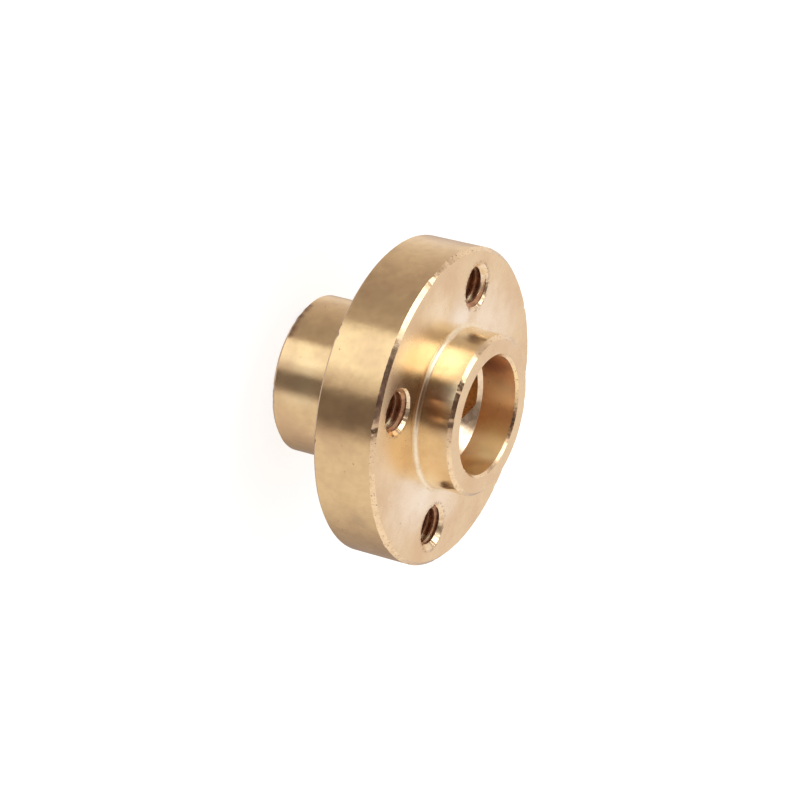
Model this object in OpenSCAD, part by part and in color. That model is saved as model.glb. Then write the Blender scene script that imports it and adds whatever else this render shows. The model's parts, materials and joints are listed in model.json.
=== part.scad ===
// Flanged lead screw nut: one solid turned from brass bar, then drilled for its four screws.
// Millimetres. It stands on the end of its rear barrel, with +Z along the screw's axis
// and the origin in the middle of that end.
// Both the lead thread and the screw threads are plain here, at the diameter of their crests.
// The counterbore ends in a cone that leads the screw into the thread.

/* [Flange] */
// Outer diameter of the flange
flange_d = 22; // [21:0.5:30]
// Thickness of the flange
flange_t = 4.5; // [3:0.25:8]
// Chamfer round the flange's front edge
flange_front_chamfer = 0.27; // [0.1:0.01:0.5]
// Chamfer round the flange's rear edge
flange_rear_chamfer = 0.16; // [0.1:0.01:0.5]

/* [Barrel] */
// Outer diameter of the barrel behind the flange
barrel_d = 11; // [9.5:0.1:12.5]
// Length of the barrel, from its end to the flange
barrel_l = 6.65; // [3:0.05:20]
// Chamfer round the barrel's end
barrel_chamfer = 0.25; // [0.1:0.01:0.5]

/* [Boss] */
// Outer diameter of the boss in front of the flange
boss_d = 11.1; // [10:0.1:12.5]
// Height of the boss above the flange
boss_h = 2.65; // [1.5:0.05:6]
// Chamfer round the boss's front edge
boss_chamfer = 0.25; // [0.1:0.01:0.5]
// Radius that the turning tool leaves where the boss and the barrel meet the flange
corner_r = 0.3; // [0.1:0.05:0.6]

/* [Bore] */
// Diameter over the crests of the lead thread
lead_crest_d = 6.2; // [5:0.1:7.4]
// Diameter of the counterbore in the boss
counterbore_d = 8.2; // [7.8:0.1:8.8]
// Depth of the counterbore from the boss's face, down to its cone
counterbore_depth = 2.65; // [1:0.05:6]
// Angle between the cone at the counterbore's bottom and the flange's face
lead_in_angle = 45; // [15:1:60]
// Chamfer round the counterbore's mouth
mouth_chamfer = 0.17; // [0.1:0.01:0.4]
// Chamfer where the lead thread comes out at the barrel's end
lead_chamfer = 0.8; // [0.1:0.05:1]

/* [Screw holes] */
// Number of screw holes in the flange
hole_count = 4; // [3:1:6]
// Diameter of the circle that the holes lie on
hole_circle_d = 16.6; // [16:0.1:17.4]
// Diameter over the crests of the holes' screw thread
hole_crest_d = 2.5; // [2:0.05:2.8]
// Diameter of the countersink at each end of a hole
countersink_d = 3.25; // [3:0.05:3.6]

/* [Hidden] */
$fn = 96;

flange_r = flange_d / 2;
barrel_r = barrel_d / 2;
boss_r = boss_d / 2;
counterbore_r = counterbore_d / 2;
lead_crest_r = lead_crest_d / 2;

// Heights of the faces above the barrel's end
flange_rear_z = barrel_l;
flange_front_z = flange_rear_z + flange_t;
boss_face_z = flange_front_z + boss_h;
cone_top_z = boss_face_z - counterbore_depth;
// Height where the cone reaches the thread's crests
cone_end_z = cone_top_z - (counterbore_r - lead_crest_r) * tan(lead_in_angle);

// A 45 degree countersink goes in as far as it widens the hole
countersink_depth = (countersink_d - hole_crest_d) / 2;
// How far each cutting shape runs past the face that it cuts
overrun = 1;

// Half of the turned outline, from the axis outwards
module outer_outline() {
    polygon([
        [0, 0],
        [barrel_r - barrel_chamfer, 0],
        [barrel_r, barrel_chamfer],
        [barrel_r, flange_rear_z],
        [flange_r - flange_rear_chamfer, flange_rear_z],
        [flange_r, flange_rear_z + flange_rear_chamfer],
        [flange_r, flange_front_z - flange_front_chamfer],
        [flange_r - flange_front_chamfer, flange_front_z],
        [boss_r, flange_front_z],
        [boss_r, boss_face_z - boss_chamfer],
        [boss_r - boss_chamfer, boss_face_z],
        [0, boss_face_z],
    ]);
}

// The rounded inside corner between a step and the face that it stands on
module corner_fillet() {
    difference() {
        square(corner_r);
        translate([corner_r, corner_r]) circle(corner_r);
    }
}

// Half of the outline of what is bored away
module bore_outline() {
    polygon([
        [0, -overrun],
        [lead_crest_r + lead_chamfer + overrun, -overrun],
        [lead_crest_r, lead_chamfer],
        [lead_crest_r, cone_end_z],
        [counterbore_r, cone_top_z],
        [counterbore_r, boss_face_z - mouth_chamfer],
        [counterbore_r + mouth_chamfer + overrun, boss_face_z + overrun],
        [0, boss_face_z + overrun],
    ]);
}

module turned_blank() {
    rotate_extrude()
        difference() {
            union() {
                outer_outline();
                translate([barrel_r, flange_rear_z]) mirror([0, 1]) corner_fillet();
                translate([boss_r, flange_front_z]) corner_fillet();
            }
            bore_outline();
        }
}

// A countersink that opens upwards, with its mouth at z = 0
module countersink() {
    translate([0, 0, -countersink_depth])
        cylinder(
            h = countersink_depth + overrun,
            r1 = hole_crest_d / 2,
            r2 = countersink_d / 2 + overrun
        );
}

// One hole through the flange, countersunk at both ends
module screw_hole() {
    translate([0, 0, flange_rear_z - overrun])
        cylinder(h = flange_t + 2 * overrun, d = hole_crest_d);
    translate([0, 0, flange_front_z]) countersink();
    translate([0, 0, flange_rear_z]) mirror([0, 0, 1]) countersink();
}

module nut() {
    color([0.80, 0.62, 0.36])
        difference() {
            turned_blank();
            for (i = [0 : hole_count - 1])
                rotate(i * 360 / hole_count)
                    translate([hole_circle_d / 2, 0, 0])
                        screw_hole();
        }
}

nut();
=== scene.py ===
import json
import math

import bmesh
import bpy
from mathutils import Matrix, Vector, noise


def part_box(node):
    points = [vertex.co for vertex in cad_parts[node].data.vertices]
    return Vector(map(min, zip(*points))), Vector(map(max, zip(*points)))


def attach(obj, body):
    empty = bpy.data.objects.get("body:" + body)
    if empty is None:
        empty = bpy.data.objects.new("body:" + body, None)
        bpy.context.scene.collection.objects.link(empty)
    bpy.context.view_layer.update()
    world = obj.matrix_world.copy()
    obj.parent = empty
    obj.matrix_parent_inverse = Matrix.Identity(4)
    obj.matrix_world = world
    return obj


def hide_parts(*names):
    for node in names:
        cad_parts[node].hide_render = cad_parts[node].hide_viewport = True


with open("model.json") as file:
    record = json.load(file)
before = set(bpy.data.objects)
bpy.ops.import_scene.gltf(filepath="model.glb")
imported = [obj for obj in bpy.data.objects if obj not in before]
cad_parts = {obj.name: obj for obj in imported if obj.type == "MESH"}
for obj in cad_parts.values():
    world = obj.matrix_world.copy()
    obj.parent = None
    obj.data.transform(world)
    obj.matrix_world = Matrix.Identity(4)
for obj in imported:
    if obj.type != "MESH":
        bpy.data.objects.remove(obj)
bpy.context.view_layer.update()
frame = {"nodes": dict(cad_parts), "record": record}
print("frame loaded:", sorted(frame["nodes"]))

mm = 1000  # the nut is cut in millimetres and brought to metres at the end
mounts = {mount["name"]: mount for mount in frame["record"]["mounts"]}
lowest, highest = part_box("nut")


def heightOf(mountName):
    return mounts[mountName]["pos_m"][2] * mm


def sizeOf(mountName, sizeName):
    return mounts[mountName]["dims"][sizeName]


# The camera looks down on the standing nut, rolled over so that the nut's axis lies across the view
cameraValues = {
    "aim": (0, 0, heightOf("flange_front")),  # middle of the flange's front face, mm
    "toCamera": (-0.88737, 0.12839, 0.44283),  # directions in the nut's own axes
    "toRight": (0.45991, 0.17832, 0.86988),
    "distance": 182.783,  # mm
    "slideRight": -3.6747,
    "slideUp": 0.5121,
    "lens": 122.19,
    "sensorWidth": 36,
    "clip": (0.01, 20),  # metres
}


def cameraAxes(values):
    back = Vector(values["toCamera"]).normalized()
    up = back.cross(Vector(values["toRight"])).normalized()
    return up.cross(back).normalized(), up, back


def makeCamera(values):
    rightAxis, upAxis, backAxis = cameraAxes(values)
    camera = bpy.data.objects.new("camera", bpy.data.cameras.new("camera"))
    bpy.context.scene.collection.objects.link(camera)
    place = (
        Vector(values["aim"])
        + rightAxis * values["slideRight"]
        + upAxis * values["slideUp"]
        + backAxis * values["distance"]
    )
    turn = Matrix((rightAxis, upAxis, backAxis)).transposed()
    camera.matrix_world = Matrix.Translation(place / mm) @ turn.to_4x4()
    camera.data.lens = values["lens"]
    camera.data.sensor_width = values["sensorWidth"]
    camera.data.clip_start, camera.data.clip_end = values["clip"]
    bpy.context.scene.camera = camera


makeCamera(cameraValues)
print("camera placed")


# Small helpers for cutting metal
mergeDistance = 1e-4  # mm
sliceDistance = 1e-5
rimDistance = 1e-3


def makeWire(bm, corners, closed=False):
    # an outline of radii and heights, to be spun about the axis
    verts = [bm.verts.new((r, 0, z)) for r, z in corners]
    following = verts[1:] + verts[:1] if closed else verts[1:]
    return verts + [bm.edges.new(pair) for pair in zip(verts, following)]


def breakCorner(bm, r, z, size, segments):
    corner = min(bm.verts, key=lambda v: (v.co - Vector((r, 0, z))).length)
    bmesh.ops.bevel(
        bm, geom=[corner], offset=size, offset_type="OFFSET", segments=segments,
        profile=0.5, affect="VERTICES", material=-1,
    )


def ringChamfer(bm, r, z, size, cuts):
    # rings along a chamfer, so that its borders can wear while its middle stays true
    corner = Vector((r, 0, z))
    reach = 1.01 * size  # just past the chamfer's two ends
    near = [e for e in bm.edges if all((v.co - corner).length < reach for v in e.verts)]
    bmesh.ops.subdivide_edges(bm, edges=near, cuts=cuts)


def slicePlane(bm, point, normal):
    geom = bm.verts[:] + bm.edges[:] + bm.faces[:]
    bmesh.ops.bisect_plane(bm, geom=geom, dist=sliceDistance, plane_co=point, plane_no=normal)


def mergeAndFaceOut(bm):
    bmesh.ops.remove_doubles(bm, verts=bm.verts[:], dist=mergeDistance)
    bmesh.ops.recalc_face_normals(bm, faces=bm.faces[:])


def spinFull(bm, steps):
    bmesh.ops.spin(
        bm, geom=bm.verts[:] + bm.edges[:], cent=(0, 0, 0), axis=(0, 0, 1),
        angle=2 * math.pi, steps=steps, use_merge=True,
    )
    mergeAndFaceOut(bm)


def meshObject(name, bm):
    mesh = bpy.data.meshes.new(name)
    bm.to_mesh(mesh)
    bm.free()
    piece = bpy.data.objects.new(name, mesh)
    bpy.context.scene.collection.objects.link(piece)
    return piece


def cutAway(piece, cutter):
    cut = piece.modifiers.new("cut", "BOOLEAN")
    cut.operation = "DIFFERENCE"
    cut.solver = "EXACT"
    cut.object = cutter
    graph = bpy.context.evaluated_depsgraph_get()
    result = bpy.data.meshes.new_from_object(piece.evaluated_get(graph), depsgraph=graph)
    piece.modifiers.clear()
    spent = piece.data
    piece.data = result
    bpy.data.meshes.remove(spent)
    bpy.data.objects.remove(cutter)
    # the next cut leaves gaps unless the corners that this one made are merged first
    bm = bmesh.new()
    bm.from_mesh(piece.data)
    mergeAndFaceOut(bm)
    bm.to_mesh(piece.data)
    bm.free()


# The turned blank, its sizes in millimetres
blankValues = {
    "steps": 720,
    "flangeFrontChamfer": 0.27,
    "flangeRearChamfer": 0.16,
    "barrelChamfer": 0.25,
    "bossChamfer": 0.25,
    "mouthChamfer": 0.17,
    "rearMouthChamfer": 0.8,
    "chamferRings": 2,
    "cornerRadius": 0.3,
    "cornerSegments": 6,
    "cornerMargin": 0.05,  # rings beside the rounded corners, so that the flats shade flat
    "counterDepth": 2.65,  # of the counterbore's wall, before its cone
}

flangeR = (highest.x - lowest.x) / 2 * mm
topZ = highest.z * mm
frontZ = heightOf("flange_front")
rearZ = heightOf("flange_rear")
barrelR = sizeOf("barrel", "r_mm")
bossR = sizeOf("boss", "r_mm")
counterR = sizeOf("counterbore", "r_mm")
crestR = sizeOf("lead_thread", "r_mm")
coneTopZ = topZ - blankValues["counterDepth"]
coneEndZ = coneTopZ - (counterR - crestR)  # the cone is cut at 45 degrees


def makeBlank(values):
    bm = bmesh.new()
    outline = [
        (crestR, 0), (barrelR, 0), (barrelR, rearZ), (flangeR, rearZ),
        (flangeR, frontZ), (bossR, frontZ), (bossR, topZ), (counterR, topZ),
        (counterR, coneTopZ), (crestR, coneEndZ),
    ]
    makeWire(bm, outline, closed=True)
    for r, z, chamfer in (
        (barrelR, 0, "barrelChamfer"), (crestR, 0, "rearMouthChamfer"),
        (flangeR, rearZ, "flangeRearChamfer"), (flangeR, frontZ, "flangeFrontChamfer"),
        (bossR, topZ, "bossChamfer"), (counterR, topZ, "mouthChamfer"),
    ):
        breakCorner(bm, r, z, values[chamfer], 1)
        ringChamfer(bm, r, z, values[chamfer], values["chamferRings"])
    breakCorner(bm, barrelR, rearZ, values["cornerRadius"], values["cornerSegments"])
    breakCorner(bm, bossR, frontZ, values["cornerRadius"], values["cornerSegments"])
    reach = values["cornerRadius"] + values["cornerMargin"]
    slicePlane(bm, (bossR + reach, 0, 0), (1, 0, 0))
    slicePlane(bm, (0, 0, frontZ + reach), (0, 0, 1))
    slicePlane(bm, (0, 0, rearZ - reach), (0, 0, 1))
    spinFull(bm, values["steps"])
    return bm


# Wear on the edges: each chamfer swells and shrinks, and its two borders are ragged
wearValues = {
    "raggedSize": 0.2,  # sizes of the lumps, mm
    "coarseSize": 0.7,
    "coarseShare": 0.6,
    "swellSize": 3.2,
    "swell": 0.1,
    "borderShift": 7,  # how far apart in the noise the two borders and the edges are taken
    "edgeShift": 20,
    # each edge: its corner, then where it is cut ragged and where nicked: turn, width, amount,
    # with turns and widths in degrees and amounts in millimetres
    "edges": [
        {
            "chamfer": "flangeFrontChamfer", "r": flangeR, "z": frontZ, "inward": (-1, -1),
            "ragged": 0.012,
            "rough": [(122, 8, 0.05), (104, 14, 0.022), (168, 13, 0.014), (-174.5, 4, 0.07),
                      (-122, 7, 0.05), (-148, 22, 0.012), (60, 12, 0.03), (18, 12, 0.035),
                      (-42, 16, 0.03), (-92, 12, 0.025)],
            "nicks": [(122, 6.5, -0.1), (-174.5, 1.5, 0.07), (-124, 2, 0.05),
                      (40, 1.3, 0.08), (12, 0.7, 0.06), (-34, 1.5, 0.07), (-80, 0.8, 0.06)],
        },
        {
            "chamfer": "flangeRearChamfer", "r": flangeR, "z": rearZ, "inward": (-1, 1),
            "ragged": 0.008,
            "rough": [(156, 6, 0.04), (-166, 4, 0.03), (100, 12, 0.02), (30, 14, 0.03), (-70, 15, 0.02)],
            "nicks": [(153.8, 0.8, 0.07), (157.5, 1.1, 0.08), (-165.5, 0.7, 0.06), (88, 0.8, 0.06),
                      (20, 1.0, 0.07), (-60, 0.9, 0.06)],
        },
        {
            "chamfer": "barrelChamfer", "r": barrelR, "z": 0.0, "inward": (-1, 1),
            "ragged": 0.012,
            "rough": [(130, 18, 0.035), (-163, 12, 0.035), (-128, 8, 0.02), (20, 30, 0.03)],
            "nicks": [(118, 3.0, 0.06), (127, 3.5, 0.06), (137, 2.5, 0.05), (-170, 3.0, 0.06),
                      (-160, 2.5, 0.05), (-128, 2.0, 0.05), (30, 3.0, 0.07), (-60, 2.5, 0.06)],
        },
        {
            "chamfer": "bossChamfer", "r": bossR, "z": topZ, "inward": (-1, -1),
            "ragged": 0.01,
            "rough": [(157, 6, 0.03), (172, 8, 0.012), (-168, 10, 0.02), (85, 20, 0.02),
                      (10, 20, 0.02), (-110, 20, 0.018)],
            "nicks": [(158, 4, 0.03), (-177, 3, 0.03), (10, 3.0, 0.05)],
        },
        {
            "chamfer": "mouthChamfer", "r": counterR, "z": topZ, "inward": (1, -1),
            "ragged": 0.008,
            "rough": [(0, 30, 0.015), (-120, 30, 0.02)],
            "nicks": [(35, 2.0, 0.03), (-120, 2.5, 0.04)],
        },
    ],
}


def amountAt(places, turn):
    total = 0
    for middle, width, amount in places:
        apart = abs((turn - middle + 180) % 360 - 180) / width
        if apart < 1:
            total += amount * (1 - apart * apart)
    return total


def wearEdge(bm, values, edge, shift):
    size = blankValues[edge["chamfer"]]
    inR, inZ = edge["inward"]
    near = 0.01  # how close to the chamfer a corner has to be, as a share of its size
    for v in bm.verts:
        radius = math.hypot(v.co.x, v.co.y)
        share = (v.co.z - edge["z"]) / (inZ * size)  # 0 at the flat's border, 1 at the round's border
        back = (radius - edge["r"]) / (inR * size)
        if abs(share + back - 1) > near or not -near < share < 1 + near:
            continue
        turn = math.degrees(math.atan2(v.co.y, v.co.x))
        spot = Vector((v.co.x, v.co.y, shift))
        wide = size * (1 + values["swell"] * noise.noise(spot / values["swellSize"]))
        wide += amountAt(edge["nicks"], turn)
        spot.z += values["borderShift"] * round(share)
        coarse = noise.noise(spot / values["coarseSize"])
        lumps = noise.noise(spot / values["raggedSize"]) + values["coarseShare"] * coarse
        lumps *= edge["ragged"] + amountAt(edge["rough"], turn)
        newR = edge["r"] + inR * (wide * (1 - share) + (lumps if share < near else 0))
        newZ = edge["z"] + inZ * (wide * share + (lumps if share > 1 - near else 0))
        v.co.xy *= newR / radius
        v.co.z = newZ


def wearBlank(bm, values):
    for index, edge in enumerate(values["edges"]):
        wearEdge(bm, values, edge, values["edgeShift"] * index)


# Screw holes, drilled, countersunk and tapped
holeValues = {
    "count": sizeOf("screw_holes", "count"),
    "circleR": sizeOf("screw_holes", "pcd_mm") / 2,
    "crestR": sizeOf("screw_holes", "hole_r_mm"),
    "sinkR": 1.625,
    "threadR": 1.5,
    "pitch": 0.5,
    "crestEnd": 0.03,  # where the crest ends and the root starts, as shares of the pitch
    "rootStart": 0.44,
    "coreGap": 0.06,  # how far inside the crests the tap's core stays
    "overrun": 1.0,  # how far the tools run past the flange
    "steps": 64,
    "firstRoot": (-159, 0.23),  # the side, in degrees, and the depth where the first groove shows
    "ragged": 0.045,  # how far the countersinks' rims wander
    "raggedSize": 0.22,
    "coarseSize": 0.9,
    "coarseShare": 0.6,
}


def spreadHoles(bm, values):
    # from one hole's shape on the axis to all of them round the flange
    bmesh.ops.translate(bm, verts=bm.verts[:], vec=(values["circleR"], 0, 0))
    shapes = bm.verts[:] + bm.edges[:] + bm.faces[:]
    others = values["count"] - 1
    bmesh.ops.spin(
        bm, geom=shapes, cent=(0, 0, 0), axis=(0, 0, 1), use_duplicate=True,
        angle=2 * math.pi * others / values["count"], steps=others,
    )
    bmesh.ops.recalc_face_normals(bm, faces=bm.faces[:])


def nearestHole(spot, values):
    part = 2 * math.pi / values["count"]
    turn = round(math.atan2(spot.y, spot.x) / part) * part
    return Vector((math.cos(turn), math.sin(turn))) * values["circleR"]


def makeDrill(values):
    bm = bmesh.new()
    crest, sink = values["crestR"], values["sinkR"]
    reach = sink - crest
    over = values["overrun"]
    corners = [
        (0, rearZ - over), (sink + over, rearZ - over), (crest, rearZ + reach),
        (crest, frontZ - reach), (sink + over, frontZ + over), (0, frontZ + over),
    ]
    makeWire(bm, corners)
    slicePlane(bm, (0, 0, frontZ), (0, 0, 1))
    slicePlane(bm, (0, 0, rearZ), (0, 0, 1))
    spinFull(bm, 2 * values["steps"])
    spreadHoles(bm, values)
    for v in bm.verts:
        if min(abs(v.co.z - frontZ), abs(v.co.z - rearZ)) > rimDistance:
            continue
        middle = nearestHole(v.co, values)
        out = v.co.xy - middle
        coarse = noise.noise(v.co / values["coarseSize"])
        wander = noise.noise(v.co / values["raggedSize"]) + values["coarseShare"] * coarse
        v.co.xy = middle + out * (1 + values["ragged"] * wander / out.length)
    return meshObject("drill", bm)


def helixSheet(bm, outline, lead, steps, turns):
    # outline runs up along z for one lead, so that each turn meets the next
    bmesh.ops.spin(
        bm, geom=makeWire(bm, outline), cent=(0, 0, 0), axis=(0, 0, 1), dvec=(0, 0, lead / steps),
        angle=2 * math.pi * turns, steps=steps * turns,
    )
    bmesh.ops.remove_doubles(bm, verts=bm.verts[:], dist=mergeDistance)
    # close each end with a fan to a point on the axis
    low = min(v.co.z for v in bm.verts)
    high = max(v.co.z for v in bm.verts)
    middle = (low + high) / 2
    rims = [e for e in bm.edges if e.is_boundary]
    for isTop in (False, True):
        rim = [e for e in rims if (sum(v.co.z for v in e.verts) / 2 > middle) == isTop]
        made = bmesh.ops.extrude_edge_only(bm, edges=rim)["geom"]
        tips = [g for g in made if isinstance(g, bmesh.types.BMVert)]
        bmesh.ops.pointmerge(bm, verts=tips, merge_co=(0, 0, high + lead if isTop else low - lead))
    bmesh.ops.recalc_face_normals(bm, faces=bm.faces[:])


def makeScrewTap(values):
    bm = bmesh.new()
    core, root, pitch = values["crestR"] - values["coreGap"], values["threadR"], values["pitch"]
    crestEnd, rootStart = values["crestEnd"] * pitch, values["rootStart"] * pitch
    outline = [
        (core, 0), (core, crestEnd), (root, rootStart), (root, pitch - rootStart),
        (core, pitch - crestEnd), (core, pitch),
    ]
    turns = math.ceil((frontZ - rearZ + 3 * values["overrun"]) / pitch)
    helixSheet(bm, outline, pitch, values["steps"], turns)
    side, depth = values["firstRoot"]
    rootZ = frontZ - depth - pitch * side / 360
    below = math.ceil((rootZ - rearZ + values["overrun"]) / pitch)
    bmesh.ops.translate(bm, verts=bm.verts[:], vec=(0, 0, rootZ - (below + 0.5) * pitch))
    spreadHoles(bm, values)
    return meshObject("screwTap", bm)


# The lead thread, its sizes in millimetres
leadValues = {
    "starts": 4,
    "lead": 12.0,
    "rootR": 3.83,
    "grooveAtCrest": 1.6,
    "flankSlope": 0.268,
    "coreGap": 0.08,  # how far inside the crests the tap's core stays
    "turns": 3,
    "steps": 180,
    "startAngle": 53.0,  # where a groove's middle comes out at the barrel's end
}


def makeLeadTap(values):
    bm = bmesh.new()
    pitch = values["lead"] / values["starts"]
    core = crestR - values["coreGap"]
    narrow = (values["rootR"] - core) * values["flankSlope"]
    wide = values["grooveAtCrest"] + 2 * values["coreGap"] * values["flankSlope"]
    outline = []
    for start in range(values["starts"]):
        base = start * pitch
        grooveLow, grooveHigh = base + (pitch - wide) / 2, base + (pitch + wide) / 2
        outline += [
            (core, base), (core, grooveLow), (values["rootR"], grooveLow + narrow),
            (values["rootR"], grooveHigh - narrow), (core, grooveHigh),
        ]
    outline.append((core, values["lead"]))
    helixSheet(bm, outline, values["lead"], values["steps"], values["turns"])
    # a groove's middle lies half a pitch up the outline, so one comes out at angle 0 after this drop
    bmesh.ops.translate(bm, verts=bm.verts[:], vec=(0, 0, -values["lead"] - pitch / 2))
    turn = Matrix.Rotation(math.radians(values["startAngle"]), 3, "Z")
    bmesh.ops.rotate(bm, verts=bm.verts[:], cent=(0, 0, 0), matrix=turn)
    return meshObject("leadTap", bm)


blank = makeBlank(blankValues)
wearBlank(blank, wearValues)
nut = meshObject("nut_turned", blank)
print("blank turned and worn:", len(nut.data.polygons), "faces")
cutAway(nut, makeDrill(holeValues))
cutAway(nut, makeScrewTap(holeValues))
print("screw holes cut:", len(nut.data.polygons), "faces")
cutAway(nut, makeLeadTap(leadValues))
print("lead thread cut:", len(nut.data.polygons), "faces")


# Finishes, one for each way that a surface was cut, with highlights, reflections and shade painted into
# their colours in places
def node(tree, kind, inputs=None, **settings):
    made = tree.nodes.new("ShaderNode" + kind)
    for name, value in settings.items():
        setattr(made, name, value)
    for name, value in (inputs or {}).items():
        if isinstance(value, bpy.types.NodeSocket):
            tree.links.new(value, made.inputs[name])
        else:
            made.inputs[name].default_value = value
    return made


def calculate(tree, operation, *values):
    return node(tree, "Math", dict(enumerate(values)), operation=operation).outputs[0]


def cloud(tree, place, size, detail):
    # soft noise from 0 to 1 whose lumps are about size millimetres across
    made = node(tree, "TexNoise", {"Vector": place, "Scale": mm / size, "Detail": detail})
    return made.outputs["Fac"]


def ramp(tree, value, low, high, lowest=0.0, highest=1.0):
    made = node(
        tree, "MapRange",
        {"Value": value, "From Min": low, "From Max": high, "To Min": lowest, "To Max": highest},
        interpolation_type="SMOOTHSTEP",
    )
    return made.outputs["Result"]


def blendTint(tree, factor, first, second):
    made = node(tree, "Mix", {"Factor": factor}, data_type="RGBA")
    for index, value in ((6, first), (7, second)):  # the node's colour sockets
        if isinstance(value, bpy.types.NodeSocket):
            tree.links.new(value, made.inputs[index])
        else:
            made.inputs[index].default_value = (*value, 1)
    return made.outputs[2]


def holeDistance(tree, axes):
    # distance in metres from the nearest screw hole's axis
    sides = [calculate(tree, "ABSOLUTE", axes.outputs[name]) for name in "XY"]
    far, near = calculate(tree, "MAXIMUM", *sides), calculate(tree, "MINIMUM", *sides)
    spot = node(tree, "CombineXYZ", {"X": far, "Y": near})
    middle = (holeValues["circleR"] / mm, 0, 0)
    return node(tree, "VectorMath", {0: spot.outputs[0], 1: middle}, operation="DISTANCE").outputs["Value"]


# what all the finishes share: sizes in millimetres, and the noise levels between which things start
grainValues = {
    "mottleFrom": (0.35, 0.7),
    "glossFrom": (0.3, 0.7),
    "patchLumps": 1.1,  # size of the lumps in a patch's border
    "patchWander": 0.6,  # how far the border wanders, and where it starts and ends, as shares of the radius
    "patchReach": (1.3, 0.3),
    "cleanFade": 0.01,
    "cleanLeft": 0.1,
    "rimSpeck": 0.16,
    "rimReach": (1.95, 1.6),  # from a screw hole's axis
}


def tintOf(tree, place, values):
    # clean brass, duller clouds, a brown mottle, and ragged-bordered areas of painted light and shade:
    # highlights, reflections and shadows painted into the colour
    dull = ramp(tree, cloud(tree, place, values["dullSize"], detail=3.0), *values["dullFrom"])
    tint = blendTint(tree, dull, values["tint"], values["dullTint"])
    mottle = cloud(tree, place, values["mottleSize"], detail=4.0)
    mottle = ramp(tree, mottle, *grainValues["mottleFrom"], 0, values["mottle"])
    tint = blendTint(tree, mottle, tint, values["spotTint"])
    lumps = cloud(tree, place, grainValues["patchLumps"], detail=3.0)
    outer, inner = grainValues["patchReach"]
    # each area paints a highlight, a reflection or shade into the colour, fading out over its ragged border
    for x, y, z, radius, strength, colour in values.get("paintedLightAndShade", []):
        middle = (x / mm, y / mm, z / mm)
        away = node(tree, "VectorMath", {0: place, 1: middle}, operation="DISTANCE").outputs["Value"]
        away = calculate(tree, "MULTIPLY_ADD", lumps, grainValues["patchWander"] * radius / mm, away)
        inside = ramp(tree, away, outer * radius / mm, inner * radius / mm, 0, strength)
        tint = blendTint(tree, inside, tint, colour)
    return tint


def keepClean(tree, spots, flat, turn, halfWidth):
    # takes the pits away from one part of an edge
    side = (math.cos(math.radians(turn)), math.sin(math.radians(turn)), 0)
    unit = node(tree, "VectorMath", {0: flat}, operation="NORMALIZE")
    facing = node(tree, "VectorMath", {0: unit.outputs[0], 1: side}, operation="DOT_PRODUCT")
    edge, fade = math.cos(math.radians(halfWidth)), grainValues["cleanFade"]
    keep = ramp(tree, facing.outputs["Value"], edge - fade, edge + fade, 1, grainValues["cleanLeft"])
    return calculate(tree, "MULTIPLY", spots, keep)


def addRimSpecks(tree, spots, place, axes, startAt):
    # burrs and dirt round the screw holes
    specks = ramp(tree, cloud(tree, place, grainValues["rimSpeck"], detail=2.0), *startAt)
    outer, inner = grainValues["rimReach"]
    around = ramp(tree, holeDistance(tree, axes), outer / mm, inner / mm)
    return calculate(tree, "MAXIMUM", spots, calculate(tree, "MULTIPLY", specks, around))


def reliefOf(tree, place, lineAt, spots, values):
    # slow waves, the tool's rings, fine grain and pits, one bump upon the other
    rings = node(
        tree, "TexNoise", {"W": lineAt, "Scale": mm / values["lineSize"], "Detail": 1.0},
        noise_dimensions="1D",
    )
    normal = None
    for height, size in (
        (cloud(tree, place, values["waveSize"], detail=1.0), values["waveHeight"]),
        (rings.outputs["Fac"], values["lineHeight"]),
        (cloud(tree, place, values["grainSize"], detail=2.0), values["grainHeight"]),
        (spots, -values["spotDepth"]),
    ):
        inputs = {"Height": height, "Distance": abs(size) / mm, "Strength": 1.0}
        if normal:
            inputs["Normal"] = normal
        normal = node(tree, "Bump", inputs, invert=size < 0).outputs["Normal"]
    return normal


def makeBrass(name, values):
    material = bpy.data.materials.new(name)
    material.use_nodes = True
    tree = material.node_tree
    shader = tree.nodes["Principled BSDF"]
    shader.inputs["Metallic"].default_value = values.get("metallic", 1)
    place = node(tree, "TexCoord").outputs["Object"]
    axes = node(tree, "SeparateXYZ", {"Vector": place})
    flat = node(tree, "CombineXYZ", {"X": axes.outputs["X"], "Y": axes.outputs["Y"]}).outputs[0]
    if values["linesAlong"] == "radius":
        lineAt = node(tree, "VectorMath", {0: flat}, operation="LENGTH").outputs["Value"]
    else:
        lineAt = axes.outputs["Z"]
        shader.inputs["Anisotropic"].default_value = values.get("stretch", 0)
        upward = node(tree, "CombineXYZ", {"Z": 1.0})
        tree.links.new(upward.outputs[0], shader.inputs["Tangent"])

    spots = ramp(tree, cloud(tree, place, values["spotSize"], detail=1.0), *values["spotFrom"])
    for turn, halfWidth in values.get("clean", []):
        spots = keepClean(tree, spots, flat, turn, halfWidth)
    if "rimSpots" in values:
        spots = addRimSpecks(tree, spots, place, axes, values["rimSpots"])
    tint = blendTint(tree, spots, tintOf(tree, place, values), values["spotTint"])
    tree.links.new(tint, shader.inputs["Base Color"])

    # gloss: uneven, and rougher where it is pitted
    gloss = cloud(tree, place, values["glossSize"], detail=3.0)
    gloss = ramp(tree, gloss, *grainValues["glossFrom"], *values["roughness"])
    rough = calculate(tree, "MULTIPLY_ADD", spots, values["spotRough"], gloss)
    tree.links.new(rough, shader.inputs["Roughness"])
    tree.links.new(reliefOf(tree, place, lineAt, spots, values), shader.inputs["Normal"])
    return material
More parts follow.
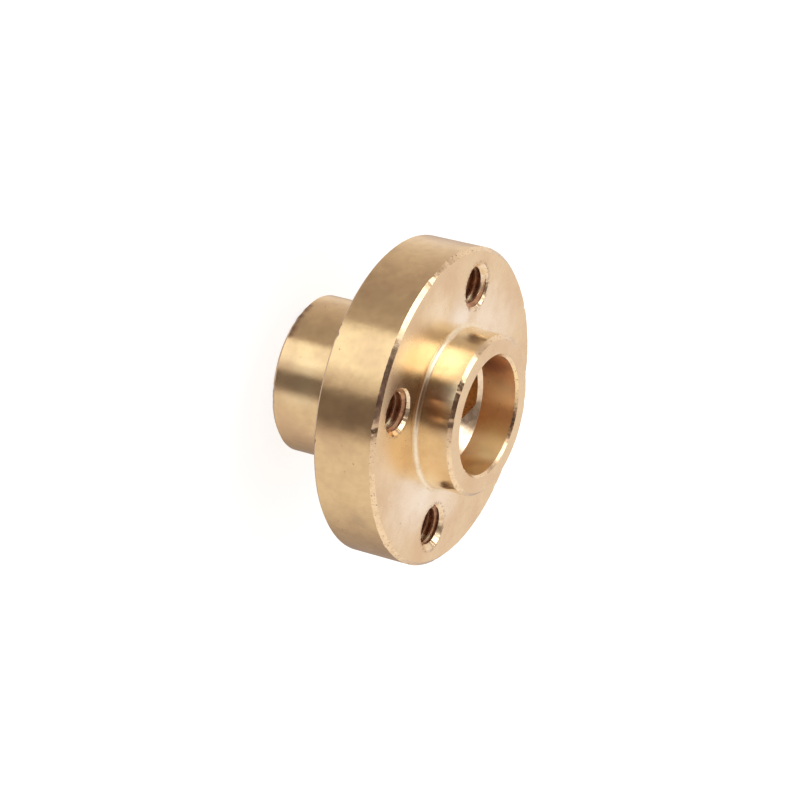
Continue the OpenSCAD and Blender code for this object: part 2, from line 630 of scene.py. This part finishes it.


# painted light and shade, each given as x, y, z and radius in millimetres, strength, tint; clean: turn and
# half width in degrees
finishes = {
    "brass_turned": {
        "tint": (0.93, 0.69, 0.375), "dullTint": (0.82, 0.585, 0.33), "dullSize": 2.4,
        "dullFrom": (0.44, 0.7), "mottle": 0.13, "mottleSize": 0.45,
        # painted light and shade: lighter and darker areas raise and lower the brightness of the reflected
        # bands on the flange's rim and the barrel, and a row of dark bites is painted along the rim of the
        # barrel's end
        "paintedLightAndShade": [(-5.6, 9.5, 7.7, 0.9, 0.5, (0.95, 0.7, 0.38)),
                    (-4.7, 9.9, 6.9, 0.7, 0.4, (0.6, 0.43, 0.28)),
                    (-8.0, -7.6, 9.6, 1.0, 0.45, (0.55, 0.41, 0.26)),
                    (-9.0, -6.3, 8.9, 1.2, 0.25, (0.7, 0.5, 0.24)),
                    (-8.3, 7.2, 8.5, 1.6, 0.25, (0.72, 0.52, 0.3)),
                    (4.0, 10.2, 9.0, 1.2, 0.35, (0.6, 0.44, 0.27)),
                    (9.8, -5.0, 8.0, 1.5, 0.3, (0.66, 0.47, 0.27)),
                    (-4.1, 3.7, 0.6, 0.9, 0.3, (0.66, 0.47, 0.27)),
                    (-5.5, -0.3, 2.4, 2.4, 0.95, (1.0, 0.82, 0.49)),
                    (-5.4, -0.5, 1.0, 2.0, 0.8, (1.0, 0.78, 0.46)),
                    (-5.45, 1.4, 0.9, 1.3, 0.5, (0.8, 0.58, 0.35)),
                    (-2.75, 4.76, 0.3, 0.42, 1, (0.4, 0.26, 0.17)),
                    (-3.15, 4.5, 0.26, 0.58, 1, (0.36, 0.23, 0.15)),
                    (-3.7, 4.07, 0.3, 0.48, 1, (0.36, 0.23, 0.15)),
                    (-4.05, 3.7, 0.26, 0.5, 1, (0.4, 0.26, 0.17)),
                    (-4.45, 3.23, 0.28, 0.56, 1, (0.36, 0.23, 0.15)),
                    (-4.72, 2.8, 0.3, 0.42, 1, (0.4, 0.26, 0.17)),
                    (-4.3, -3.4, 1.2, 2.4, 0.85, (0.72, 0.5, 0.29))],
        "spotTint": (0.5, 0.33, 0.19), "spotSize": 0.32, "spotFrom": (0.745, 0.85),
        "spotRough": 0.1, "spotDepth": 0.001,
        "roughness": (0.2, 0.27), "glossSize": 1.4, "stretch": 0.85,
        "waveSize": 0.9, "waveHeight": 0.006, "lineSize": 0.1, "lineHeight": 0.0002,
        "linesAlong": "axis", "grainSize": 0.12, "grainHeight": 0.0012,
    },
    "brass_boss": {
        "tint": (0.92, 0.78, 0.52), "dullTint": (0.86, 0.7, 0.44), "dullSize": 1.6,
        "dullFrom": (0.46, 0.72), "mottle": 0.12, "mottleSize": 0.4,
        # painted reflection and shade: brown and darker golden areas paint the screw hole's blurred mirror
        # image and shade on the boss's wall
        "paintedLightAndShade": [(-5.4, 0.9, 12.2, 1.6, 0.9, (0.78, 0.47, 0.27)),
                    (-5.5, -0.05, 12.8, 1.6, 1.0, (0.5, 0.3, 0.16)),
                    (-3.9, -3.9, 12.7, 3.0, 0.8, (0.86, 0.64, 0.36))],
        "spotTint": (0.5, 0.33, 0.19), "spotSize": 0.4, "spotFrom": (0.77, 0.86),
        "spotRough": 0.1, "spotDepth": 0.001,
        "roughness": (0.17, 0.23), "glossSize": 1.4, "stretch": 0.78,
        "waveSize": 0.9, "waveHeight": 0.004, "lineSize": 0.1, "lineHeight": 0.0002,
        "linesAlong": "axis", "grainSize": 0.1, "grainHeight": 0.0008,
    },
    "brass_corner": {
        # painted light and shade: the pale tint is partly brass's own colour and partly a painted highlight
        # on the rounded corner, and the dark areas paint shade on one side of it
        "tint": (0.98, 0.82, 0.58), "dullTint": (0.88, 0.7, 0.46), "dullSize": 1.2,
        "dullFrom": (0.5, 0.75), "mottle": 0.15, "mottleSize": 0.25,
        "paintedLightAndShade": [(-5.5, 1.2, 11.3, 2.4, 0.95, (0.42, 0.27, 0.16)),
                    (-5.65, 0.2, 11.3, 1.6, 0.8, (0.5, 0.32, 0.19))],
        "spotTint": (0.5, 0.33, 0.19), "spotSize": 0.16, "spotFrom": (0.68, 0.78),
        "spotRough": 0.1, "spotDepth": 0.002,
        "roughness": (0.28, 0.36), "glossSize": 1.4,
        "waveSize": 0.9, "waveHeight": 0.006, "lineSize": 0.1, "lineHeight": 0.0002,
        "linesAlong": "axis", "grainSize": 0.1, "grainHeight": 0.0015,
    },
    "brass_faced": {
        "tint": (0.84, 0.625, 0.385), "dullTint": (0.79, 0.56, 0.34), "dullSize": 3.0,
        "dullFrom": (0.42, 0.66), "mottle": 0.1, "mottleSize": 0.4,
        # painted light and shade: pale areas paint soft glows of reflected light on the flange's face, and
        # darker ones paint shade beside the boss and the screw hole and on the boss's front
        "paintedLightAndShade": [(2.0, 6.2, frontZ, 3.6, 0.9, (0.97, 0.81, 0.62)),
                    (5.0, 5.6, frontZ, 3.0, 0.6, (0.97, 0.81, 0.62)),
                    (-4.2, -6.0, frontZ, 4.2, 0.9, (0.97, 0.81, 0.62)),
                    (0.6, -6.3, frontZ, 3.4, 0.85, (0.97, 0.81, 0.62)),
                    (-7.0, 4.8, frontZ, 1.8, 0.5, (0.9, 0.66, 0.41)),
                    (-7.8, -2.4, frontZ, 2.0, 0.5, (0.88, 0.61, 0.35)),
                    (-4.4, 9.1, frontZ, 1.8, 0.4, (0.76, 0.53, 0.34)),
                    (-1.3, -9.8, frontZ, 2.2, 0.6, (0.77, 0.51, 0.29)),
                    (6.2, -4.0, frontZ, 2.2, 0.4, (0.93, 0.76, 0.56)),
                    (-5.0, 6.1, frontZ, 2.6, 0.85, (1.0, 0.81, 0.57)),
                    (-5.1, 1.3, frontZ, 2.8, 0.9, (0.62, 0.39, 0.2)),
                    (-7.7, -3.5, frontZ, 2.8, 0.8, (0.95, 0.74, 0.49)),
                    (-1.6, 6.1, frontZ, 2.4, 0.85, (1.0, 0.88, 0.73)),
                    (-2.2, -6.2, frontZ, 2.4, 0.85, (1.0, 0.88, 0.71)),
                    (-7.6, 3.4, frontZ, 1.6, 0.9, (0.74, 0.47, 0.26)),
                    (-1.2, -4.4, topZ, 2.6, 0.7, (0.76, 0.52, 0.3))],
        "spotTint": (0.5, 0.34, 0.22), "spotSize": 0.3, "spotFrom": (0.77, 0.83),
        "spotRough": 0.1, "spotDepth": 0.001, "rimSpots": (0.47, 0.57),
        "roughness": (0.22, 0.3), "glossSize": 2.2,
        "waveSize": 1.6, "waveHeight": 0.003, "lineSize": 0.12, "lineHeight": 0.0004,
        "linesAlong": "radius", "grainSize": 0.12, "grainHeight": 0.0014,
    },
    "brass_edge": {
        "tint": (0.93, 0.7, 0.44), "dullTint": (0.82, 0.6, 0.37), "dullSize": 0.8,
        "dullFrom": (0.5, 0.75), "mottle": 0.15, "mottleSize": 0.25,
        "clean": [(139, 11), (172, 13)],
        # painted shade and highlight: dark areas paint the shaded strips on the front chamfers of the
        # flange, the boss and the mouth and on the rear chamfers of the flange and the barrel's end, and a
        # pale one paints a highlight on the mouth's chamfer
        "paintedLightAndShade": [(-10.55, 2.6, 11.0, 2.8, 0.95, (0.54, 0.36, 0.25)),
                    (-10.85, 0.5, 11.0, 2.8, 0.95, (0.54, 0.36, 0.25)),
                    (-5.45, 0.6, 13.7, 2.8, 0.9, (0.5, 0.31, 0.19)),
                    (4.15, -0.65, 13.7, 2.2, 0.9, (0.46, 0.28, 0.16)),
                    (3.4, 2.4, 13.7, 2.2, 0.85, (0.96, 0.73, 0.38)),
                    (-3.5, 4.1, 0.1, 1.5, 0.95, (0.38, 0.24, 0.15)),
                    (-5.3, -0.9, 0.1, 1.0, 0.6, (0.5, 0.32, 0.2)),
                    (-10.6, -2.8, 6.7, 1.0, 0.9, (0.38, 0.24, 0.15)),
                    (-9.9, 4.6, 6.7, 0.9, 0.8, (0.42, 0.27, 0.17))],
        "spotTint": (0.38, 0.25, 0.15), "spotSize": 0.13, "spotFrom": (0.63, 0.72),
        "spotRough": 0.2, "spotDepth": 0.003,
        "roughness": (0.16, 0.26), "glossSize": 0.6,
        "waveSize": 0.4, "waveHeight": 0.002, "lineSize": 0.08, "lineHeight": 0.0003,
        "linesAlong": "axis", "grainSize": 0.1, "grainHeight": 0.001,
    },
    "brass_bored": {
        "tint": (0.98, 0.63, 0.34), "dullTint": (0.9, 0.54, 0.27), "dullSize": 1.2,
        "dullFrom": (0.45, 0.7), "mottle": 0.12, "mottleSize": 0.3,
        # painted reflection and shade: golden areas paint the warm glow and bright band on the
        # counterbore's wall, and dark ones paint its shaded part
        "paintedLightAndShade": [(3.9, 1.2, 12.4, 2.0, 0.8, (1.0, 0.74, 0.42)),
                    (2.7, 3.1, 12.2, 2.1, 1.0, (0.44, 0.25, 0.17)),
                    (4.1, -0.4, 12.4, 1.2, 0.4, (0.9, 0.52, 0.27)),
                    (3.5, -2.4, 12.7, 2.8, 1.0, (1.0, 0.82, 0.43)),
                    (1.4, -3.8, 12.9, 2.4, 1.0, (1.0, 0.84, 0.46))],
        "spotTint": (0.45, 0.28, 0.15), "spotSize": 0.3, "spotFrom": (0.76, 0.84),
        "spotRough": 0.1, "spotDepth": 0.001,
        "roughness": (0.34, 0.4), "glossSize": 0.9, "stretch": 0.88,
        "waveSize": 0.8, "waveHeight": 0.003, "lineSize": 0.08, "lineHeight": 0.0006,
        "linesAlong": "axis", "grainSize": 0.08, "grainHeight": 0.0012,
    },
    "brass_cone": {
        "tint": (0.95, 0.75, 0.53), "dullTint": (0.84, 0.63, 0.41), "dullSize": 0.8,
        "dullFrom": (0.5, 0.75), "mottle": 0.12, "mottleSize": 0.25,
        "spotTint": (0.4, 0.26, 0.15), "spotSize": 0.16, "spotFrom": (0.72, 0.8),
        "spotRough": 0.15, "spotDepth": 0.003,
        "roughness": (0.16, 0.26), "glossSize": 0.5,
        "waveSize": 0.5, "waveHeight": 0.004, "lineSize": 0.07, "lineHeight": 0.0005,
        "linesAlong": "radius", "grainSize": 0.08, "grainHeight": 0.0015,
    },
    "brass_threaded": {
        "tint": (0.94, 0.72, 0.46), "dullTint": (0.84, 0.58, 0.34), "dullSize": 0.7,
        "dullFrom": (0.4, 0.7), "mottle": 0.15, "mottleSize": 0.25,
        "spotTint": (0.35, 0.2, 0.1), "spotSize": 0.25, "spotFrom": (0.74, 0.84),
        "spotRough": 0.15, "spotDepth": 0.002,
        "roughness": (0.2, 0.34), "glossSize": 0.5,
        "waveSize": 0.4, "waveHeight": 0.005, "lineSize": 0.07, "lineHeight": 0.0006,
        "linesAlong": "axis", "grainSize": 0.07, "grainHeight": 0.0015,
    },
    "brass_tapped": {
        # painted shade and glints: the dark brown tints paint the shade deep in the screw holes' threads,
        # and the pale areas paint glints on the threads' ridges
        "tint": (0.7, 0.38, 0.2), "dullTint": (0.46, 0.22, 0.11), "dullSize": 0.5,
        "dullFrom": (0.35, 0.6), "mottle": 0.3, "mottleSize": 0.2, "metallic": 0.6,
        "paintedLightAndShade": [(-7.4, -0.95, frontZ - 0.9, 0.5, 1, (1.0, 0.85, 0.55)),
                    (0.9, 7.35, frontZ - 0.9, 0.5, 1, (1.0, 0.85, 0.55)),
                    (0.9, -9.25, frontZ - 0.9, 0.5, 1, (1.0, 0.85, 0.55))],
        "spotTint": (0.2, 0.12, 0.08), "spotSize": 0.14, "spotFrom": (0.62, 0.74),
        "spotRough": 0.15, "spotDepth": 0.004,
        "roughness": (0.24, 0.36), "glossSize": 0.4,
        "waveSize": 0.3, "waveHeight": 0.01, "lineSize": 0.07, "lineHeight": 0.0006,
        "linesAlong": "axis", "grainSize": 0.08, "grainHeight": 0.004,
    },
    "brass_sunk": {
        "tint": (0.95, 0.75, 0.5), "dullTint": (0.84, 0.61, 0.37), "dullSize": 0.5,
        "dullFrom": (0.45, 0.7), "mottle": 0.15, "mottleSize": 0.2,
        "spotTint": (0.4, 0.26, 0.16), "spotSize": 0.13, "spotFrom": (0.66, 0.76),
        "spotRough": 0.1, "spotDepth": 0.003,
        "roughness": (0.18, 0.3), "glossSize": 0.4,
        "waveSize": 0.3, "waveHeight": 0.008, "lineSize": 0.07, "lineHeight": 0.0006,
        "linesAlong": "axis", "grainSize": 0.08, "grainHeight": 0.004,
    },
}


sortValues = {
    "flatFrom": 0.995,  # how much of a face's normal lies along the axis
    "wallBelow": 0.1,
    "cornerFrom": 0.05,
    "coneFrom": 0.6,
    "sinkSlope": (0.6, 0.8),
    "slack": 0.01,  # mm, round the places that the faces are sorted by
    "threadSlack": 0.1,
    "sinkSlack": 0.05,
    "holeSlack": 0.15,
    "insideRim": 1,  # how far inside the flange's rim the rounded corners lie
}


def finishInHole(values, middle, normal, fromHole):
    low, high = values["sinkSlope"]
    depth = min(frontZ - middle.z, middle.z - rearZ)
    onSink = abs(fromHole + depth - holeValues["sinkR"]) < values["sinkSlack"]
    return "brass_sunk" if onSink and low < abs(normal.z) < high else "brass_tapped"


def finishInBore(values, middle, normal, radius):
    slope, slack = abs(normal.z), values["slack"]
    if radius < counterR + slack and middle.z > coneTopZ:
        return "brass_bored" if slope < values["wallBelow"] else "brass_edge"
    if radius < counterR and middle.z > coneEndZ and slope > values["coneFrom"]:
        return "brass_cone"
    if radius < leadValues["rootR"] + values["threadSlack"]:
        return "brass_threaded"
    return None


def finishOutside(values, middle, normal, radius):
    slope, corner = abs(normal.z), blankValues["cornerRadius"]
    fromFront, fromRear = abs(middle.z - frontZ - corner / 2), abs(middle.z - rearZ + corner / 2)
    inCorner = min(fromFront, fromRear) < corner / 2 and radius < flangeR - values["insideRim"]
    if inCorner and slope > values["cornerFrom"]:
        return "brass_corner"
    if slope < values["wallBelow"]:
        return "brass_boss" if middle.z > frontZ else "brass_turned"
    return "brass_edge"


def finishOf(values, face):
    # names the finish by where the face lies and which way it looks
    middle, normal, slack = face.calc_center_median(), face.normal, values["slack"]
    radius = math.hypot(middle.x, middle.y)
    fromHole = (middle.xy - nearestHole(middle, holeValues)).length
    onFlat = abs(normal.z) > values["flatFrom"]
    atFlange = rearZ - slack < middle.z < frontZ + slack
    if fromHole < holeValues["sinkR"] + values["holeSlack"] and atFlange and not onFlat:
        return finishInHole(values, middle, normal, fromHole)
    if onFlat:
        return "brass_faced"
    inBore = finishInBore(values, middle, normal, radius)
    return inBore or finishOutside(values, middle, normal, radius)


def finishMesh(piece, sharpAngle):
    piece.data.materials.clear()
    places = {}
    for index, (name, values) in enumerate(finishes.items()):
        piece.data.materials.append(makeBrass(name, values))
        places[name] = index
    bm = bmesh.new()
    bm.from_mesh(piece.data)
    mergeAndFaceOut(bm)
    counts = dict.fromkeys(places, 0)
    for face in bm.faces:
        finish = finishOf(sortValues, face)
        face.material_index = places[finish]
        face.smooth = finish != "brass_faced"
        counts[finish] += 1
    for edge in bm.edges:
        edge.smooth = edge.is_manifold and edge.calc_face_angle(0) < math.radians(sharpAngle)
    bmesh.ops.scale(bm, verts=bm.verts[:], vec=(1 / mm, 1 / mm, 1 / mm))
    loose = sum(1 for e in bm.edges if not e.is_manifold)
    print("open edges:", loose, "triangles:", sum(len(f.verts) - 2 for f in bm.faces), counts)
    bm.to_mesh(piece.data)
    bm.free()


finishMesh(nut, sharpAngle=24)
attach(nut, "root")
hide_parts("nut")


# The studio: a white sweep, with plain cards and soft boxes standing far off around the nut
studioValues = {
    "sweep": 0.8,
    "darkTone": (1, 0.77, 0.69),  # what is dark in the room is a little brown
    "whiteFrom": 1.2,  # the level from which the light is plain white
    # azimuth and elevation about the nut's own axis, half sizes and soft edge, all in degrees;
    # a later card stands in front of an earlier one
    "cards": [
        {"az": 14, "el": 14, "halfWide": 34, "halfHigh": 26, "soft": 16, "level": 0.95},
        {"az": -85, "el": 30, "halfWide": 50, "halfHigh": 24, "soft": 10, "level": 1.0},
        {"az": 14, "el": -30, "halfWide": 19, "halfHigh": 16, "soft": 8, "level": 1.15},
        {"az": 115, "el": -34, "halfWide": 43, "halfHigh": 34, "soft": 38, "level": 0.33},
        {"az": -27, "el": -34, "halfWide": 40, "halfHigh": 22, "soft": 29, "level": 0.27},
        {"az": -8, "el": -66, "halfWide": 38, "halfHigh": 20, "soft": 8, "level": 0.6},
        {"az": 170.5, "el": 38, "halfWide": 32, "halfHigh": 34, "soft": 7, "level": 0.12},
        {"az": -130, "el": 60, "halfWide": 9, "halfHigh": 12, "soft": 3, "level": 0.85},
        {"az": 171, "el": -28, "halfWide": 33.5, "halfHigh": 30, "soft": 7, "level": 0.175},
        {"az": 67, "el": 32, "halfWide": 13, "halfHigh": 13, "soft": 5, "level": 0.48},
        {"az": 154.5, "el": -28, "halfWide": 20.5, "halfHigh": 28, "soft": 4, "level": 0.8},
        {"az": 149.5, "el": -28, "halfWide": 14.5, "halfHigh": 28, "soft": 5, "level": 1.24},
        {"az": 111, "el": 24, "halfWide": 23, "halfHigh": 15, "soft": 4, "level": 2.3},
        {"az": 94, "el": 50, "halfWide": 13, "halfHigh": 14, "soft": 1.5, "level": 2.5},
    ],
}


def lookAt(az, el):
    az, el = math.radians(az), math.radians(el)
    return Vector((math.cos(el) * math.cos(az), math.cos(el) * math.sin(az), math.sin(el)))


def makeWorld(values):
    world = bpy.data.worlds.new("studio")
    bpy.context.scene.world = world
    world.use_nodes = True
    tree = world.node_tree
    tree.nodes.clear()
    place = node(tree, "TexCoord").outputs["Generated"]

    def along(axis):
        return node(tree, "VectorMath", {0: place, 1: axis}, operation="DOT_PRODUCT").outputs["Value"]

    def inside(offset, forward, half, soft):
        # 1 within half degrees of the card's middle, falling to 0 over its soft edge
        angle = calculate(tree, "ARCTAN2", calculate(tree, "ABSOLUTE", offset), forward)
        return ramp(tree, angle, math.radians(half + soft), math.radians(half - soft))

    level = values["sweep"]
    for card in values["cards"]:
        toCard = lookAt(card["az"], card["el"])
        side = Vector((0, 0, 1)).cross(toCard).normalized()
        top = toCard.cross(side)
        forward = along(toCard)
        wide = inside(along(side), forward, card["halfWide"], card["soft"])
        high = inside(along(top), forward, card["halfHigh"], card["soft"])
        mask = calculate(tree, "MULTIPLY", wide, high)
        level = node(tree, "Mix", {"Factor": mask, "A": level, "B": card["level"]}).outputs["Result"]
    warmth = node(tree, "MapRange", {"Value": level, "From Max": values["whiteFrom"]})
    tone = blendTint(tree, warmth.outputs["Result"], values["darkTone"], (1, 1, 1))
    light = node(tree, "Background", {"Color": tone, "Strength": level})
    white = node(tree, "Background", {"Color": (1, 1, 1, 1), "Strength": 1})
    toCamera = node(tree, "LightPath").outputs["Is Camera Ray"]
    pick = node(tree, "MixShader", {"Fac": toCamera, 1: light.outputs[0], 2: white.outputs[0]})
    node(tree, "OutputWorld", {"Surface": pick.outputs[0]})


floorValues = {
    "halfWidth": 3,  # metres
    "grey": 0.5,
    "glow": 0.75,
}


def makeFloor(values):
    bm = bmesh.new()
    bmesh.ops.create_grid(bm, x_segments=1, y_segments=1, size=values["halfWidth"])
    floor = meshObject("floor", bm)
    material = bpy.data.materials.new("floor_white")
    material.use_nodes = True
    tree = material.node_tree
    tree.nodes.clear()
    matt = node(tree, "BsdfDiffuse", {"Color": (*[values["grey"]] * 3, 1)})
    glow = node(tree, "Emission", {"Strength": values["glow"]})
    both = node(tree, "AddShader", {0: matt.outputs[0], 1: glow.outputs[0]})
    node(tree, "OutputMaterial", {"Surface": both.outputs[0]})
    floor.data.materials.append(material)
    floor.visible_glossy = False  # the nut's walls mirror the cards that stand below the floor's level


makeWorld(studioValues)
makeFloor(floorValues)
bpy.context.scene.view_settings.view_transform = "Standard"
print("studio lit")
